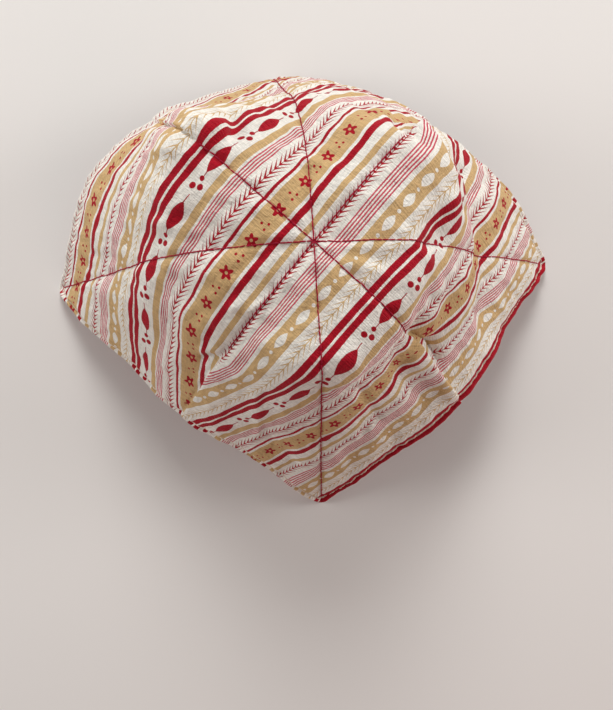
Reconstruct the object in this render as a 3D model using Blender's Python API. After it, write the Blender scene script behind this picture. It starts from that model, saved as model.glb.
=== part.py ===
"""A bowl cosy of quilted cotton, turned dome up and standing on its four corners.

Two panels make it, each a square of cotton on its own wadding: a striped one outside and a pin-dot lining
inside. A dart in the middle of every side draws the flat square up into a dome, and its corners hang
down as four feet. Lines of quilting run from the centre to every corner and every dart.

Lengths are in millimetres and angles in degrees until a mesh is made, which is in metres. The origin is on the
floor under the middle of the outline, with +Z up.
"""

import bpy
import numpy as np

MM = 0.001

# The flat square, before its darts are sewn
HALF_SIDE = 120.5
DART_TIP = 61.0
DART_HALF_WIDTH = 24.0
HEM_WIDTH = 4.0

# The cloth of each panel with its wadding, and how far a row of stitches presses it in
PANEL_THICKNESS = 2.0
PANEL_GAP = 0.3
STITCH_DIP = 0.7

# The square's corners are slightly rounded, by a power mean of the two sides in place of the larger one
CORNER_ROUNDING = 80.0

# The cloth slopes down to corners this far below the centre. From its start each leg goes down a little more, so
# that the last of it lies level as a foot, which rests on the floor and is pressed flat by a small amount
CORNER_DROP = 102.4
FOOT_DROP = 101.5
LEG_START = 105
FOOT_START = 163
FOOT_PRESS = 0.2
FOOT_MIDDLE_HEIGHT = PANEL_GAP / 2.0 + PANEL_THICKNESS - STITCH_DIP - FOOT_PRESS

# Cells from the centre to the hem along a side of each quarter, and the distances of the square's corners and of
# the darts' ends from the centre. No line on the cloth is longer than the last value
CELLS_TO_HEM = 18
CORNER_DISTANCE = HALF_SIDE * np.sqrt(2.0) * 2.0 ** (-1.0 / CORNER_ROUNDING)
DART_END_DISTANCE = np.hypot(HALF_SIDE, DART_HALF_WIDTH)
LONGEST_LINE = 176

# The quilted lines swing by their leans between these distances from the centre
LEAN_START = 20.0
LEAN_END = 150.0

# The eight quilted lines, anticlockwise from the right-hand corner. Each leaves the centre at its azimuth and
# has swung by its lean at the rim. The slope grows evenly from the centre to "top" where the shoulder starts,
# turns to "wall" where it ends and to "rim" at the rim. The bulge is how much the cloth between this line and
# the next one stands out, as a share of its distance from the centre.
# name, azimuth, lean, top slope, wall slope, rim slope, shoulder start, shoulder end, bulge
LINES = (
    ("right corner", -2.2, 1.7, 3.0, 53.0, 45.2, 22.5, 55.0, 0.060),
    ("upper right dart", 47.0, -4.1, 8.5, 63.6, 61.4, 43.0, 67.0, -0.029),
    ("upper corner", 89.9, 5.4, 39.5, 69.8, 70.6, 45.5, 121.5, -0.040),
    ("upper left dart", 135.2, -1.5, 9.8, 59.7, 56.0, 55.5, 74.0, 0.062),
    ("left corner", 179.6, 0.0, 20.0, 56.2, 49.6, 35.0, 83.0, -0.044),
    ("lower left dart", 227.0, -0.8, 23.5, 53.8, 60.0, 32.0, 72.5, -0.046),
    ("lower corner", 270.1, 0.6, 2.9, 63.0, 50.2, 40.5, 56.0, -0.034),
    ("lower right dart", 314.2, 0.9, 2.6, 60.4, 37.0, 32.5, 48.5, -0.042),
)

# Soft folds through the whole quilt. Each runs along places given as an azimuth and a distance from the centre.
# name, half-width, height, places
FOLDS = (
    ("right shoulder", 9.0, 1.9, ((40.0, 70.0), (10.0, 69.0), (-20.0, 82.0))),
    ("hollow past the right shoulder", 9.0, -4.7, ((26.0, 97.0), (0.0, 101.0), (-18.0, 109.0))),
    ("pinch beside the lower right dart", 7.0, -3.6, ((-42.0, 62.0), (-40.0, 80.0), (-42.0, 92.0))),
    ("lap over the lower right dart", 6.0, 2.2, ((-49.0, 62.0), (-47.0, 84.0), (-46.0, 112.0))),
    ("drag left of the lower right dart", 7.0, -2.2, ((-56.0, 60.0), (-55.5, 86.0), (-53.0, 104.0))),
    ("roll round the upper right dart", 7.0, 2.4, ((45.0, 72.0), (38.0, 67.0), (29.0, 64.5), (16.0, 62.0))),
    ("roll below the upper right dart", 10.0, 2.2, ((38.0, 80.0), (37.0, 112.0))),
    ("puff before the upper left dart", 8.0, 2.8, ((131.0, 63.0), (127.0, 60.0), (122.0, 84.0))),
    ("pinch at the tip of the upper left dart", 8.0, -2.5, ((135.0, 66.0), (135.0, 92.0))),
    ("trough beside the left corner", 9.0, -2.4, ((190.0, 58.0), (206.0, 94.0))),
    ("pinch at the tip of the lower left dart", 8.0, -2.2, ((220.5, 62.0), (222.0, 84.0))),
    ("ripple above the lower corner", 9.0, -1.8, ((252.0, 104.0), (262.0, 134.0))),
    ("far wall drawn in on the left", 24.0, -5.0, ((102.0, 104.0), (122.0, 110.0))),
    ("right wall drawn in", 18.0, -1.0, ((12.0, 118.0), (22.0, 130.0))),
    ("rim drawn in below the right corner", 12.0, -2.4, ((350.0, 150.0), (342.0, 138.0))),
)

OUTER_COLOUR = (0.80, 0.66, 0.55, 1.0)
LINING_COLOUR = (0.35, 0.005, 0.02, 1.0)
CLOTH_ROUGHNESS = 0.9


def clear_scene():
    """Removes the objects that a new file starts with."""
    for thing in list(bpy.data.objects):
        bpy.data.objects.remove(thing)


def smooth_step(value):
    """Runs from 0 to 1, level at both ends."""
    held = np.clip(value, 0.0, 1.0)
    return held * held * (3.0 - 2.0 * held)


def line_profile(top, wall, rim_slope, shoulder_start, shoulder_end, ends_in_foot):
    """Returns the reach and the depth of one quilted line at every millimetre along it.

    The cloth's slope is summed up along the line. The depth of a line to a corner is stretched a little, so that
    all four come equally low, and lowered some more along the leg, down to the level foot.
    """
    along = np.arange(LONGEST_LINE + 1.0)
    turn = smooth_step((along - shoulder_start) / (shoulder_end - shoulder_start))
    slope = top * np.clip(along / shoulder_start, 0.0, 1.0) + (wall - top) * turn
    end = CORNER_DISTANCE if ends_in_foot else DART_END_DISTANCE
    slope = slope + (rim_slope - wall) * np.clip((along - shoulder_end) / (end - shoulder_end), 0.0, 1.0)
    slope = np.radians((slope[1:] + slope[:-1]) / 2.0)
    reach = np.concatenate([[0.0], np.cumsum(np.cos(slope))])
    depth = np.concatenate([[0.0], np.cumsum(np.sin(slope))])
    if ends_in_foot:
        depth = depth * CORNER_DROP / np.interp(CORNER_DISTANCE, along, depth)
        down_the_leg = smooth_step((along - LEG_START) / (FOOT_START - LEG_START))
        depth = depth + (FOOT_DROP - depth[FOOT_START]) * down_the_leg
        depth[FOOT_START:] = FOOT_DROP
        reach[FOOT_START:] = reach[FOOT_START] + along[FOOT_START:] - FOOT_START
    return reach, depth


def dart_opening(along):
    """Half the width that a dart takes out, at a distance along its middle line."""
    return DART_HALF_WIDTH * np.clip((along - DART_TIP) / (HALF_SIDE - DART_TIP), 0.0, None)


def leg_angle(distance):
    """The angle between a dart's middle line and its leg, at a distance from the centre."""
    along = np.linspace(DART_TIP, HALF_SIDE, 60)
    opening = dart_opening(along)
    return np.interp(distance, np.hypot(along, opening), np.degrees(np.arctan2(opening, along)))


def cloth_places(first, second):
    """Places on one flat quarter as a distance from the centre and a turn of 0 to 90 degrees between its darts.

    The quarter's sides are the legs of its two darts, so the places leave out what the darts take up, and
    the turn closes each dart.
    """
    larger, smaller = np.maximum(first, second), np.minimum(first, second)
    shrink = (1.0 + (smaller / np.maximum(larger, 1e-9)) ** CORNER_ROUNDING) ** (-1.0 / CORNER_ROUNDING)
    first, second = first * shrink, second * shrink
    x = HALF_SIDE * first + dart_opening(HALF_SIDE * second) * (1.0 - first)
    y = HALF_SIDE * second + dart_opening(HALF_SIDE * first) * (1.0 - second)
    distance = np.hypot(x, y)
    leg = leg_angle(distance)
    turn = 90.0 * (np.degrees(np.arctan2(y, x)) - leg) / (90.0 - 2.0 * leg)
    return distance, turn


def dome_points(quarter, distance, turn, profiles):
    """The middle of the quilt at places of one quarter, as points below a centre at height zero, and their azimuths.

    Between a dart's line and a corner's line the two profiles are mixed smoothly, and the cloth stands out or
    draws in by the bulge of that sector.
    """
    last = len(LINES)
    dart_a, corner, dart_b = (2 * quarter - 1) % last, 2 * quarter, (2 * quarter + 1) % last
    corner_share = np.sin(np.radians(2.0 * turn)) ** 2
    before_corner = turn < 45.0

    def mixed(part):
        at_dart = np.where(
            before_corner,
            np.interp(distance, np.arange(LONGEST_LINE + 1.0), profiles[dart_a][part]),
            np.interp(distance, np.arange(LONGEST_LINE + 1.0), profiles[dart_b][part]),
        )
        at_corner = np.interp(distance, np.arange(LONGEST_LINE + 1.0), profiles[corner][part])
        return at_dart * (1.0 - corner_share) + at_corner * corner_share

    bulge = np.where(before_corner, LINES[dart_a][8], LINES[corner][8])
    swell = np.sin(np.radians(4.0 * turn)) ** 2 * np.clip(distance / HALF_SIDE, 0.0, 1.0) ** 2
    reach = mixed(0) * (1.0 + bulge * swell)
    swung = smooth_step((distance - LEAN_START) / (LEAN_END - LEAN_START))
    middle = LINES[corner][1]
    azimuth_a = middle - (middle - LINES[dart_a][1]) % 360.0 + LINES[dart_a][2] * swung
    azimuth_b = middle + (LINES[dart_b][1] - middle) % 360.0 + LINES[dart_b][2] * swung
    middle = middle + LINES[corner][2] * swung
    share = turn / 45.0
    azimuth = np.where(
        before_corner,
        azimuth_a + (middle - azimuth_a) * share,
        middle + (azimuth_b - middle) * (share - 1.0),
    )
    angle = np.radians(azimuth)
    points = np.stack([reach * np.cos(angle), reach * np.sin(angle), -mixed(1)], axis=-1)
    return points, azimuth


def polar_place(azimuth, distance):
    """A place on the cloth as two coordinates that run on across the darts."""
    angle = np.radians(azimuth)
    return np.stack([distance * np.cos(angle), distance * np.sin(angle)], axis=-1)


def fold_height(place):
    """How far the folds lift the cloth at each place: a bell shape across each fold, fading at its ends."""
    lift = np.zeros(place.shape[:-1])
    for _, half_width, height, stops in FOLDS:
        ends = [polar_place(*stop) for stop in stops]
        off = np.full(place.shape[:-1], np.inf)
        for start, end in zip(ends[:-1], ends[1:]):
            run = end - start
            share = np.clip((place - start) @ run / (run @ run), 0.0, 1.0)
            off = np.minimum(off, np.linalg.norm(place - start - share[..., None] * run, axis=-1))
        lift = lift + height * np.exp(-((off / half_width) ** 2))
    return lift


def welded_numbers(cells):
    """Numbers the corners of the four quarters' cells, one number for places that the seams bring together."""
    numbers = np.zeros((4, cells + 1, cells + 1), dtype=int)
    steps = np.arange(1, cells + 1)
    for quarter in range(4):
        numbers[quarter, 1:, 0] = quarter * cells + steps
        numbers[quarter, 0, 1:] = (quarter + 1) % 4 * cells + steps
        inside = 1 + 4 * cells + quarter * cells * cells + np.arange(cells * cells)
        numbers[quarter, 1:, 1:] = inside.reshape(cells, cells)
    return numbers


def quilt_sheet():
    """The quilt's middle surface: its points, its triangles, its rim, its normals and its rows of stitching."""
    to_hem = 1.0 - HEM_WIDTH / HALF_SIDE
    steps = np.append(np.linspace(0.0, to_hem, CELLS_TO_HEM + 1), 1.0)
    cells = len(steps) - 1
    first, second = np.meshgrid(steps, steps, indexing="ij")
    profiles = [
        line_profile(top, wall, rim_slope, start, end, "corner" in name)
        for name, _, _, top, wall, rim_slope, start, end, _ in LINES
    ]

    numbers = welded_numbers(cells)
    points = np.zeros((numbers.max() + 1, 3))
    lift = np.zeros(len(points))
    stitched = np.zeros(len(points), dtype=bool)
    distance, turn = cloth_places(first, second)
    row, column = np.indices(first.shape)
    on_stitches = (row == 0) | (column == 0) | (row == column) | (row >= cells - 1) | (column >= cells - 1)
    for quarter in range(4):
        quarter_points, azimuth = dome_points(quarter, distance, turn, profiles)
        points[numbers[quarter]] = quarter_points
        lift[numbers[quarter]] = fold_height(polar_place(azimuth, distance))
        stitched[numbers[quarter]] = on_stitches

    near, right, across, left = numbers[:, :-1, :-1], numbers[:, 1:, :-1], numbers[:, 1:, 1:], numbers[:, :-1, 1:]
    halves = [np.stack([near, right, across], axis=-1), np.stack([near, across, left], axis=-1)]
    triangles = np.concatenate([half.reshape(-1, 3) for half in halves])
    rim = np.concatenate([np.append(quarter[-1, :-1], quarter[:0:-1, -1]) for quarter in numbers])
    normals = vertex_normals(points, triangles)
    points = points + normals * lift[:, None]
    return points, triangles, rim, vertex_normals(points, triangles), stitched


def vertex_normals(points, triangles):
    """Each point's outward direction, from the triangles round it, larger ones counting for more."""
    corner, second, third = (points[triangles[:, k]] for k in range(3))
    facing = np.cross(second - corner, third - corner)
    total = np.zeros_like(points)
    for k in range(3):
        np.add.at(total, triangles[:, k], facing)
    return total / np.linalg.norm(total, axis=1, keepdims=True)


def panel_mesh(name, sheet, inner_offset, outer_offset, dip_on_outside, shift):
    """A closed mesh of one panel: two faces at their offsets from the quilt's middle, joined round the rim."""
    points, triangles, rim, normals, stitched = sheet
    dip = STITCH_DIP * stitched
    outer = points + normals * (outer_offset - dip * dip_on_outside)[:, None]
    inner = points + normals * (inner_offset + dip * (not dip_on_outside))[:, None]
    both = np.concatenate([outer, inner]) + shift
    both[:, 2] = np.maximum(both[:, 2], 0.0)

    count = len(points)
    following = np.roll(rim, -1)
    rim_halves = [
        np.stack([rim, rim + count, following], axis=1),
        np.stack([following, rim + count, following + count], axis=1),
    ]
    faces = np.concatenate([triangles, triangles[:, ::-1] + count] + rim_halves)
    mesh = bpy.data.meshes.new(name)
    mesh.from_pydata((both * MM).tolist(), [], faces.tolist())
    mesh.shade_smooth()
    return mesh


def cotton(name, colour):
    """A matt cotton of one colour."""
    material = bpy.data.materials.new(name)
    material.use_nodes = True
    shader = material.node_tree.nodes["Principled BSDF"]
    shader.inputs["Base Color"].default_value = colour
    shader.inputs["Roughness"].default_value = CLOTH_ROUGHNESS
    return material


def middle_shift(sheet):
    """The move that brings the outline's middle over the origin, and the feet down to the floor."""
    points = sheet[0]
    middle = (points.min(axis=0) + points.max(axis=0)) / 2.0
    return np.array([-middle[0], -middle[1], FOOT_DROP + FOOT_MIDDLE_HEIGHT])


def build():
    """Makes the two panels as separate closed bodies, a thread's width apart."""
    clear_scene()
    sheet = quilt_sheet()
    shift = middle_shift(sheet)
    near, far = PANEL_GAP / 2.0, PANEL_GAP / 2.0 + PANEL_THICKNESS
    panels = (
        ("outer_panel", near, far, True, "striped cotton", OUTER_COLOUR),
        ("lining_panel", -far, -near, False, "pin-dot cotton", LINING_COLOUR),
    )
    for name, inner_offset, outer_offset, dip_on_outside, cloth_name, colour in panels:
        mesh = panel_mesh(name, sheet, inner_offset, outer_offset, dip_on_outside, shift)
        mesh.materials.append(cotton(cloth_name, colour))
        panel = bpy.data.objects.new(name, mesh)
        bpy.context.scene.collection.objects.link(panel)


build()
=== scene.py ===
"""The looks of a quilted bowl cosy, dome up: two darted cotton panels, quilting and top stitching."""

import bpy
import numpy as np
from mathutils import Matrix, Vector


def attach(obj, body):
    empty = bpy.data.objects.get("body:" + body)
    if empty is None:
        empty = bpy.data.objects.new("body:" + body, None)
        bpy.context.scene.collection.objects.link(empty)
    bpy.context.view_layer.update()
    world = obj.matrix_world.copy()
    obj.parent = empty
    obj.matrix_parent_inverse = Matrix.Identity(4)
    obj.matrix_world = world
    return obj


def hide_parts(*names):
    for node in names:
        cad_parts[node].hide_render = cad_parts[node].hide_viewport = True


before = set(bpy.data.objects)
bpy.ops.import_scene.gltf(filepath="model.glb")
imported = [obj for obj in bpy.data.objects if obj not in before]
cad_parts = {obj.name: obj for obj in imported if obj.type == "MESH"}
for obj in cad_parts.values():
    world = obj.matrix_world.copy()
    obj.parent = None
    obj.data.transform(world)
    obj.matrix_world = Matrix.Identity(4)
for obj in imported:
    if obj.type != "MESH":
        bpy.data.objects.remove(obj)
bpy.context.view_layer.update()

# Outer panel
# A 241 mm square of printed cotton, quilted to thin wadding. A dart sewn in the middle of each side draws it
# up into a dome, and its edge is turned in against the lining's. It stands on its corners as it was put down.

# Lengths are in millimetres and angles in degrees
MM = 0.001
HALF_SIDE = 120.5
DART_TIP = 61.0
DART_HALF_WIDTH = 24.0
CORNER_ROUNDING = 80.0
CORNER_DISTANCE = HALF_SIDE * np.sqrt(2.0) * 2.0 ** (-1.0 / CORNER_ROUNDING)
DART_END_DISTANCE = np.hypot(HALF_SIDE, DART_HALF_WIDTH)
CORNER_DROP = 102.4
CORNER_MIDDLE_HEIGHT = 0.35
LONGEST_LINE = 176
LEAN_START = 20.0
LEAN_END = 150.0

# The eight quilted lines, anticlockwise from the right-hand corner. Each leaves the centre at its azimuth and
# swings towards its lean on the way out. The slope grows evenly from the centre to "top" where the shoulder
# starts, turns to "wall" where it ends and to "rim" at the rim. The bulge is how much the cloth between this
# line and the next one stands out, as a share of its distance from the centre.
# name, azimuth, lean, top slope, wall slope, rim slope, shoulder start, shoulder end, bulge
LINES = (
    ("right corner", -2.2, 1.7, 3.0, 53.0, 45.2, 22.5, 55.0, 0.060),
    ("upper right dart", 47.0, -4.1, 8.5, 63.6, 61.4, 43.0, 67.0, -0.029),
    ("upper corner", 89.9, 5.4, 39.5, 69.8, 70.6, 45.5, 121.5, -0.040),
    ("upper left dart", 135.2, -1.5, 9.8, 59.7, 56.0, 55.5, 74.0, 0.062),
    ("left corner", 179.6, 0.0, 20.0, 56.2, 49.6, 35.0, 83.0, -0.044),
    ("lower left dart", 227.0, -0.8, 23.5, 53.8, 60.0, 32.0, 72.5, -0.046),
    ("lower corner", 270.1, 0.6, 2.9, 63.0, 50.2, 40.5, 56.0, -0.034),
    ("lower right dart", 314.2, 0.9, 2.6, 60.4, 37.0, 32.5, 48.5, -0.042),
)

# Soft folds through the whole quilt, along places given as an azimuth and a distance from the centre.
# name, half-width, height, places
FOLDS = (
    ("right shoulder", 9.0, 1.9, ((40.0, 70.0), (10.0, 69.0), (-20.0, 82.0))),
    ("hollow past the right shoulder", 9.0, -4.7, ((26.0, 97.0), (0.0, 101.0), (-18.0, 109.0))),
    ("pinch beside the lower right dart", 6.0, -3.6, ((-42.0, 62.0), (-40.0, 80.0))),
    ("crease past the pinch", 5.0, -2.0, ((-38.0, 78.0), (-42.0, 92.0))),
    ("lap over the lower right dart", 4.2, 1.8, ((-49.0, 62.0), (-47.0, 84.0), (-46.0, 112.0))),
    ("drag left of the lower right dart", 6.5, -2.2, ((-56.0, 60.0), (-55.5, 86.0), (-53.0, 104.0))),
    ("roll round the upper right dart", 6.0, 2.6, ((45.0, 72.0), (38.0, 67.0), (29.0, 64.5), (16.0, 62.0))),
    ("roll below the upper right dart", 10.0, 2.2, ((38.0, 80.0), (37.0, 112.0))),
    ("dive beside the upper right dart", 5.0, -2.2, ((51.0, 62.0), (50.0, 90.0))),
    ("puff before the upper left dart", 5.2, 4.2, ((131.5, 92.0), (130.5, 64.0), (128.5, 58.0))),
    ("puff left of the upper left dart", 6.0, 2.6, ((138.5, 68.0), (138.0, 96.0))),
    ("pinch at the tip of the upper left dart", 5.0, -1.6, ((135.0, 68.0), (134.5, 96.0))),
    ("trough beside the left corner", 9.0, -2.4, ((190.0, 58.0), (206.0, 94.0))),
    ("pinch at the tip of the lower left dart", 8.0, -2.2, ((220.5, 62.0), (222.0, 84.0))),
    ("ripple above the lower corner", 9.0, -1.8, ((252.0, 104.0), (262.0, 134.0))),
    ("far wall drawn in on the left", 24.0, -5.0, ((102.0, 104.0), (122.0, 110.0))),
    ("right wall drawn in", 18.0, -1.0, ((12.0, 118.0), (22.0, 130.0))),
    ("rim drawn in below the right corner", 12.0, -2.4, ((350.0, 150.0), (342.0, 138.0))),
)


def smooth_step(value):
    """Runs from 0 to 1, level at both ends."""
    held = np.clip(value, 0.0, 1.0)
    return held * held * (3.0 - 2.0 * held)


def bell(off, half_width):
    """1 on a line, falling off as a bell shape with the distance from it."""
    return np.exp(-((off / half_width) ** 2))


def line_profile(top, wall, rim_slope, shoulder_start, shoulder_end, to_corner):
    """The reach and the depth of one quilted line at every millimetre along it: its slope, summed up.

    The depth of a line to a corner is stretched a little so that all four corners come to the floor.
    """
    along = np.arange(LONGEST_LINE + 1.0)
    turn = smooth_step((along - shoulder_start) / (shoulder_end - shoulder_start))
    slope = top * np.clip(along / shoulder_start, 0.0, 1.0) + (wall - top) * turn
    end = CORNER_DISTANCE if to_corner else DART_END_DISTANCE
    slope = slope + (rim_slope - wall) * np.clip((along - shoulder_end) / (end - shoulder_end), 0.0, 1.0)
    slope = np.radians((slope[1:] + slope[:-1]) / 2.0)
    reach = np.concatenate([[0.0], np.cumsum(np.cos(slope))])
    depth = np.concatenate([[0.0], np.cumsum(np.sin(slope))])
    if to_corner:
        depth = depth * CORNER_DROP / np.interp(CORNER_DISTANCE, along, depth)
    return reach, depth


def dart_opening(along):
    """Half the width that a dart takes out, at a distance along its middle line."""
    return DART_HALF_WIDTH * np.clip((along - DART_TIP) / (HALF_SIDE - DART_TIP), 0.0, None)


def cloth_places(first, second):
    """Flat places on one quarter, whose sides are the legs of its two darts, at shares of 0 to 1 along them.

    A power mean in place of the larger share rounds the square's corner.
    """
    larger, smaller = np.maximum(first, second), np.minimum(first, second)
    shrink = (1.0 + (smaller / np.maximum(larger, 1e-9)) ** CORNER_ROUNDING) ** (-1.0 / CORNER_ROUNDING)
    first, second = first * shrink, second * shrink
    x = HALF_SIDE * first + dart_opening(HALF_SIDE * second) * (1.0 - first)
    y = HALF_SIDE * second + dart_opening(HALF_SIDE * first) * (1.0 - second)
    return x, y


def dome_points(quarter, distance, turn):
    """The middle of the quilt at a distance from the centre and a turn of 0 to 90 degrees between two darts.

    The reach and depth of a dart's line and a corner's line are mixed smoothly, and each sector swells by its
    bulge. Points are below a centre at height zero, and come with their azimuths.
    """
    last = len(LINES)
    dart_a, corner, dart_b = (2 * quarter - 1) % last, 2 * quarter, (2 * quarter + 1) % last
    corner_share = np.sin(np.radians(2.0 * turn)) ** 2
    before_corner = turn < 45.0
    millimetres = np.arange(LONGEST_LINE + 1.0)
    mixed = []
    for part in (0, 1):
        read = [
            np.interp(distance, millimetres, line_profile(*LINES[k][3:8], "corner" in LINES[k][0])[part])
            for k in (dart_a, corner, dart_b)
        ]
        at_dart = np.where(before_corner, read[0], read[2])
        mixed.append(at_dart * (1.0 - corner_share) + read[1] * corner_share)

    bulge = np.where(before_corner, LINES[dart_a][8], LINES[corner][8])
    swell = np.sin(np.radians(4.0 * turn)) ** 2 * np.clip(distance / HALF_SIDE, 0.0, 1.0) ** 2
    reach = mixed[0] * (1.0 + bulge * swell)
    swung = smooth_step((distance - LEAN_START) / (LEAN_END - LEAN_START))
    middle = LINES[corner][1]
    azimuth_a = middle - (middle - LINES[dart_a][1]) % 360.0 + LINES[dart_a][2] * swung
    azimuth_b = middle + (LINES[dart_b][1] - middle) % 360.0 + LINES[dart_b][2] * swung
    middle = middle + LINES[corner][2] * swung
    share = turn / 45.0
    azimuth = np.where(
        before_corner,
        azimuth_a + (middle - azimuth_a) * share,
        middle + (azimuth_b - middle) * (share - 1.0),
    )
    angle = np.radians(azimuth)
    return np.stack([reach * np.cos(angle), reach * np.sin(angle), -mixed[1]], axis=-1), azimuth


def polar_place(azimuth, distance):
    """A place on the cloth as two coordinates that run on across the darts."""
    angle = np.radians(azimuth)
    return np.stack([distance * np.cos(angle), distance * np.sin(angle)], axis=-1)


def fold_height(place, folds):
    """How far folds lift the cloth at each place: a bell shape across each fold, fading at its ends."""
    lift = np.zeros(place.shape[:-1])
    for _, half_width, height, stops in folds:
        ends = [polar_place(*stop) for stop in stops]
        off = np.full(place.shape[:-1], np.inf)
        for start, end in zip(ends[:-1], ends[1:]):
            run = end - start
            share = np.clip((place - start) @ run / (run @ run), 0.0, 1.0)
            off = np.minimum(off, np.linalg.norm(place - start - share[..., None] * run, axis=-1))
        lift = lift + height * bell(off, half_width)
    return lift


# The grid of one quarter: fine cells beside the darts and at the hem, even ones between
SEAM_STEPS = (0.0, 0.4, 0.9, 1.5, 2.2, 3.0, 3.9, 5.0)
HEM_STEPS = (6.0, 5.5, 5.0, 4.5, 4.0, 3.5, 3.0, 2.4, 1.8, 1.2, 0.7, 0.3, 0.0)
EVEN_CELLS = 86
steps = np.concatenate([
    SEAM_STEPS,
    np.linspace(SEAM_STEPS[-1], HALF_SIDE - HEM_STEPS[0], EVEN_CELLS + 1)[1:-1],
    HALF_SIDE - np.array(HEM_STEPS),
]) / HALF_SIDE
cells = len(steps) - 1
LEG_SAMPLES = 60
first_share, second_share = np.meshgrid(steps, steps, indexing="ij")
flat_x, flat_y = cloth_places(first_share, second_share)
flat_distance = np.hypot(flat_x, flat_y)
leg_along = np.linspace(DART_TIP, HALF_SIDE, LEG_SAMPLES)
leg_angle = np.interp(
    flat_distance,
    np.hypot(leg_along, dart_opening(leg_along)),
    np.degrees(np.arctan2(dart_opening(leg_along), leg_along)),
)
flat_turn = 90.0 * (np.degrees(np.arctan2(flat_y, flat_x)) - leg_angle) / (90.0 - 2.0 * leg_angle)

# One number for every point, the same for places that the seams bring together
steps_out = np.arange(1, cells + 1)
numbers = np.zeros((4, cells + 1, cells + 1), dtype=int)
for quarter in range(4):
    numbers[quarter, 1:, 0] = quarter * cells + steps_out
    numbers[quarter, 0, 1:] = (quarter + 1) % 4 * cells + steps_out
    inner = np.arange(cells**2).reshape(cells, cells)
    numbers[quarter, 1:, 1:] = 1 + 4 * cells + quarter * cells**2 + inner
rim = np.concatenate([np.append(quarter[-1, :-1], quarter[:0:-1, -1]) for quarter in numbers])


def cell_corners(grids):
    """What the grids of the four quarters hold at the four corners of each cell, anticlockwise."""
    return np.stack([grids[:, :-1, :-1], grids[:, 1:, :-1], grids[:, 1:, 1:], grids[:, :-1, 1:]], axis=3)


quads = cell_corners(numbers).reshape(-1, 4)


def vertex_normals(points):
    """Each point's outward direction, from the quads round it, larger ones counting for more."""
    across = np.cross(points[quads[:, 2]] - points[quads[:, 0]], points[quads[:, 3]] - points[quads[:, 1]])
    total = np.zeros_like(points)
    for k in range(4):
        np.add.at(total, quads[:, k], across)
    return total / np.linalg.norm(total, axis=1, keepdims=True)


def on_points(by_quarter):
    """Values given for the grids of the four quarters, as one list in the order of the point numbers."""
    by_quarter = np.asarray(by_quarter)
    values = np.zeros((numbers.max() + 1,) + by_quarter.shape[3:])
    values[numbers] = by_quarter
    return values


# How far the clockwise side of each dart's seam laps over the other side, and the groove between the two
SEAM_LAPS = {
    "upper right dart": 0.9,
    "upper left dart": 0.3,
    "lower left dart": -0.3,
    "lower right dart": 1.1,
}
LAP_WIDTH = 2.4
UNDERLAP_WIDTH = 2.6
LAP_EDGE = 0.6
LAP_EDGE_WIDTH = 0.9
GROOVE = 0.7
GROOVE_WIDTH = 0.7
HEM_HOLD = 0.6
HEM_HOLD_FROM_RIM = 20.0
HEM_HOLD_FADE = 18.0


def lap_height(quarter, off_first, off_last, along):
    """The step at a quarter's two seams: its edge lies over the next quarter's and under the one before.

    The edge on top is a rounded fold, the cloth under it has a groove beside it, and the hem holds both
    flatter.
    """
    first_lap = SEAM_LAPS[LINES[2 * quarter - 1][0]]
    last_lap = SEAM_LAPS[LINES[2 * quarter + 1][0]]
    edge = LAP_EDGE * np.sign(last_lap) * bell(off_last - LAP_EDGE_WIDTH, LAP_EDGE_WIDTH)
    over = np.where(off_last > 1e-6, last_lap * bell(off_last, LAP_WIDTH) + edge, -last_lap - GROOVE)
    under = -first_lap * bell(off_first, UNDERLAP_WIDTH) - GROOVE * bell(off_first, GROOVE_WIDTH)
    held_flat = 1.0 - HEM_HOLD * smooth_step((along - HALF_SIDE + HEM_HOLD_FROM_RIM) / HEM_HOLD_FADE)
    return np.where(off_last < off_first, over, under) * held_flat


dome = [dome_points(quarter, flat_distance, flat_turn) for quarter in range(4)]
place = on_points([polar_place(azimuth, flat_distance) for _, azimuth in dome])
azimuth_at = on_points([azimuth for _, azimuth in dome])
distance_at = on_points([flat_distance] * 4)
first_seam_off = np.abs(flat_y - dart_opening(flat_x))
last_seam_off = np.abs(flat_x - dart_opening(flat_y))
dart_off = on_points([np.minimum(first_seam_off, last_seam_off)] * 4)
along_leg = np.maximum(flat_x, flat_y)
lap_at = on_points([lap_height(quarter, first_seam_off, last_seam_off, along_leg) for quarter in range(4)])
dart_along = on_points([along_leg] * 4)
corner_off = on_points([np.abs(flat_x - flat_y) / np.sqrt(2.0)] * 4)
rim_off = on_points([HALF_SIDE * (1.0 - np.maximum(first_share, second_share))] * 4)

middle = on_points([points for points, _ in dome])
middle = middle + vertex_normals(middle) * fold_height(place, FOLDS)[:, None]
outline_middle = (middle.min(axis=0) + middle.max(axis=0)) / 2.0
middle = middle + [-outline_middle[0], -outline_middle[1], CORNER_DROP + CORNER_MIDDLE_HEIGHT]
facing = vertex_normals(middle)


WAVES = 28
WAVE_SHARES = (0.7, 1.5)


def soft_noise(wavelength, seed):
    """Gentle unevenness of about one wavelength, about -1 to 1: sine waves in drawn directions, summed."""
    draw = np.random.default_rng(seed)
    total = np.zeros(len(place))
    for _ in range(WAVES):
        heading, phase = draw.uniform(0.0, 2.0 * np.pi, 2)
        length = wavelength * draw.uniform(*WAVE_SHARES)
        total += np.sin(2.0 * np.pi * (place @ [np.cos(heading), np.sin(heading)]) / length + phase)
    return total / np.sqrt(WAVES / 2.0)


# What makes the puckers along a row uneven: their phase and their strength swing every so many puckers
PHASE_SWING = 1.3
PUCKERS_PER_PHASE_SWING = 3.7
STRENGTH_SWING = 0.35
PUCKERS_PER_STRENGTH_SWING = 5.3


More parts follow.
